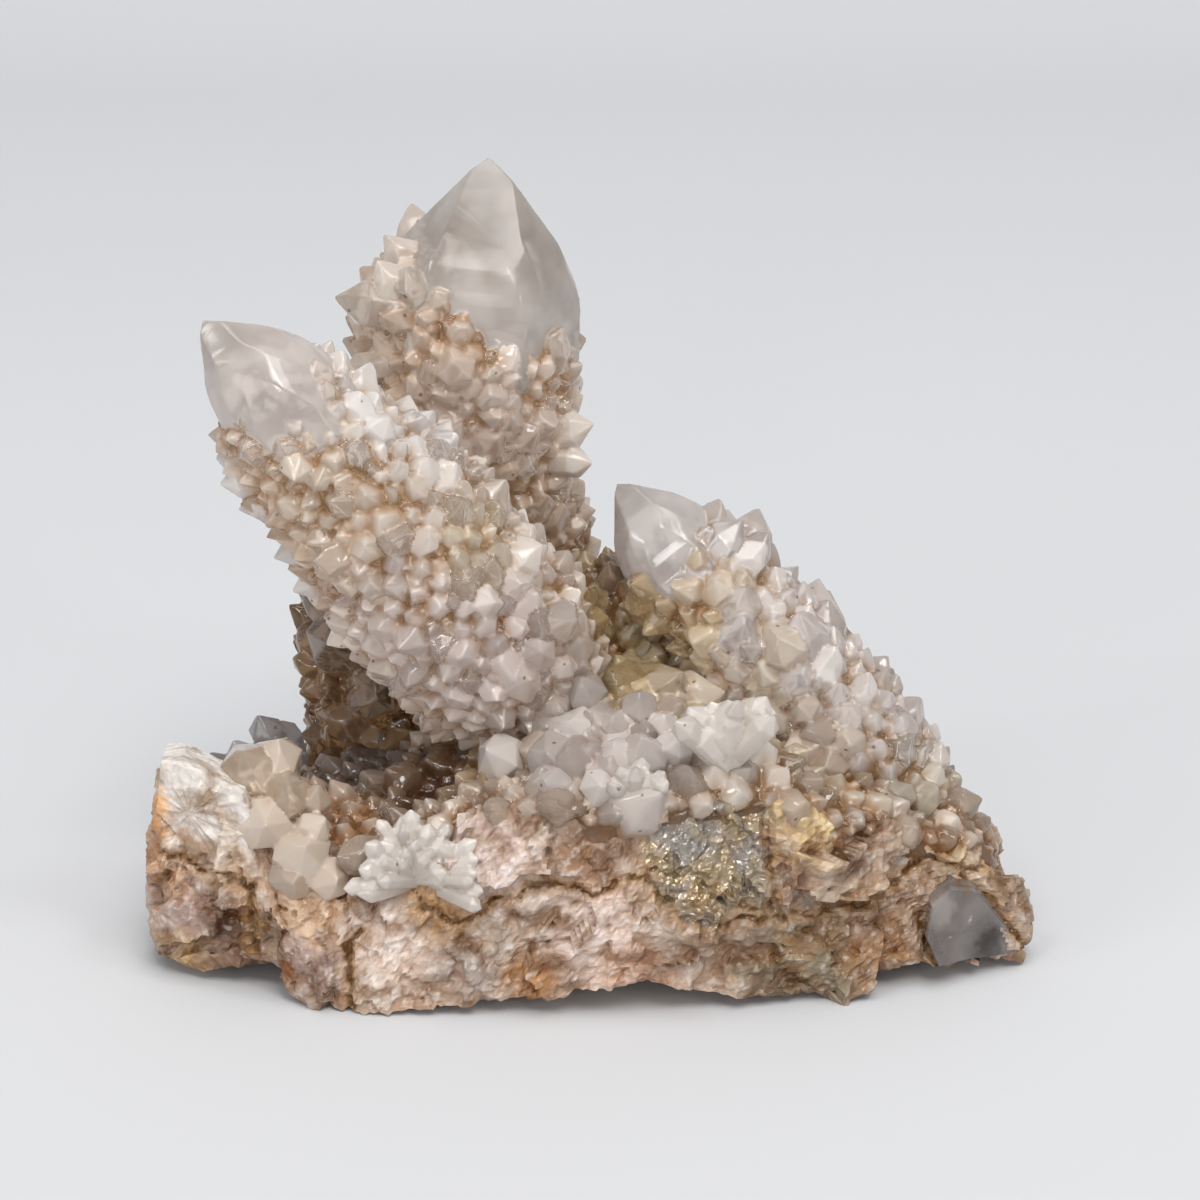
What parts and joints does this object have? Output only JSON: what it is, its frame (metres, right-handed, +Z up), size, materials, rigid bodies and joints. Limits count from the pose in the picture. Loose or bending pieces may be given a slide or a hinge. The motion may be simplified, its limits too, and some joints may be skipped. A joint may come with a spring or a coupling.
{
  "type": "cactus quartz cluster",
  "caption": "Free-standing natural mineral specimen: quartz points, each crusted with small crystals up to a smooth tip, grown together on a broken slab of quartz.",
  "frame": {"origin": "under the middle of the cluster's bounding box, on the surface that it stands on", "axes": "+X along the slab, from the end under the tall and left points towards the end where the right point is rooted; +Y from the broken front face towards the back; +Z up"},
  "size_m": [0.0761, 0.0459, 0.0653],
  "materials": {
    "quartz": "glassy crystal faces, sugary crust, matt broken base with rusty stains"
  },
  "bodies": {
    "root": {"quartz_cluster": "quartz"}
  },
  "joints": []
}
